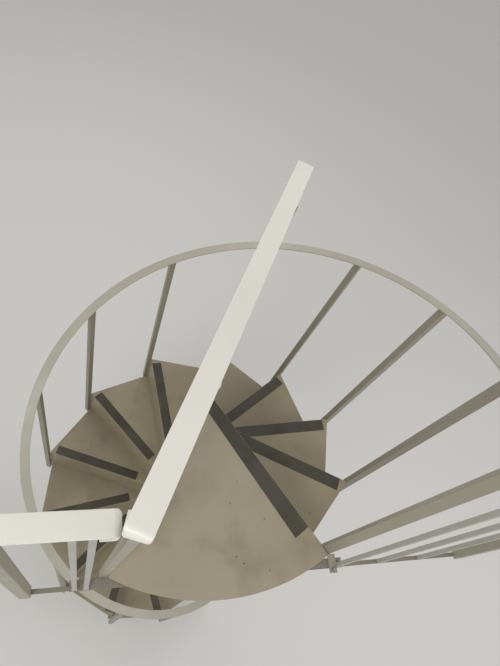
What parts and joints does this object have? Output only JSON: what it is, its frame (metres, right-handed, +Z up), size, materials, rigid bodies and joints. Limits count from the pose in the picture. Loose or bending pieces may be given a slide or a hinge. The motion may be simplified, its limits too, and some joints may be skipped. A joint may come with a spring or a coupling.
{
  "type": "spiral staircase",
  "caption": "Spiral staircase of folded steel steps round a tube pole, with a landing plate, a helical flat-bar handrail and flat-bar guards beside the landing.",
  "frame": {"origin": "centre of the underside of the pole's base flange, on the lower floor", "axes": "+Z up along the pole; +X along the edge of the upper floor; the landing lies towards -Y"},
  "size_m": [1.5431, 1.3754, 3.7937],
  "materials": {
    "flange_paint": "satin paint, dusty",
    "pole_paint": "satin beige paint",
    "landing_paint": "satin beige paint, stained",
    "step_paint": "satin beige paint, worn",
    "baluster_paint": "satin paint",
    "post_paint": "satin paint",
    "handrail_paint": "satin paint",
    "rail_paint": "satin cream paint",
    "bar_paint": "satin grey paint",
    "bare_steel": "thin worn paint on steel"
  },
  "bodies": {
    "root": {"base_flange": "flange_paint", "centre_pole": "pole_paint", "pole_cap": "rail_paint", "landing_plate": "landing_paint", "step_1": "step_paint", "step_2": "step_paint", "step_3": "step_paint", "step_4": "step_paint", "step_5": "step_paint", "step_6": "step_paint", "step_7": "step_paint", "step_8": "step_paint", "step_9": "step_paint", "step_10": "step_paint", "step_11": "step_paint", "step_12": "step_paint", "baluster_1": "baluster_paint", "baluster_2": "baluster_paint", "baluster_3": "baluster_paint", "baluster_4": "baluster_paint", "baluster_5": "baluster_paint", "baluster_6": "baluster_paint", "baluster_7": "baluster_paint", "baluster_8": "baluster_paint", "baluster_9": "baluster_paint", "baluster_10": "baluster_paint", "baluster_11": "baluster_paint", "baluster_12": "baluster_paint", "top_newel": "post_paint", "newel_lug": "post_paint", "corner_post": "post_paint", "pole_stub_post": "post_paint", "end_posts": "post_paint", "handrail_bottom": "handrail_paint", "handrail_low": "handrail_paint", "handrail_high": "handrail_paint", "handrail_top": "handrail_paint", "handrail_curl": "handrail_paint", "floor_bar": "bare_steel", "foot_bars": "bare_steel", "landing_guard_rail": "rail_paint", "left_guard_rail": "rail_paint", "right_guard_rail": "rail_paint", "landing_guard_bars": "bar_paint", "side_guard_bars": "bar_paint"}
  },
  "joints": []
}
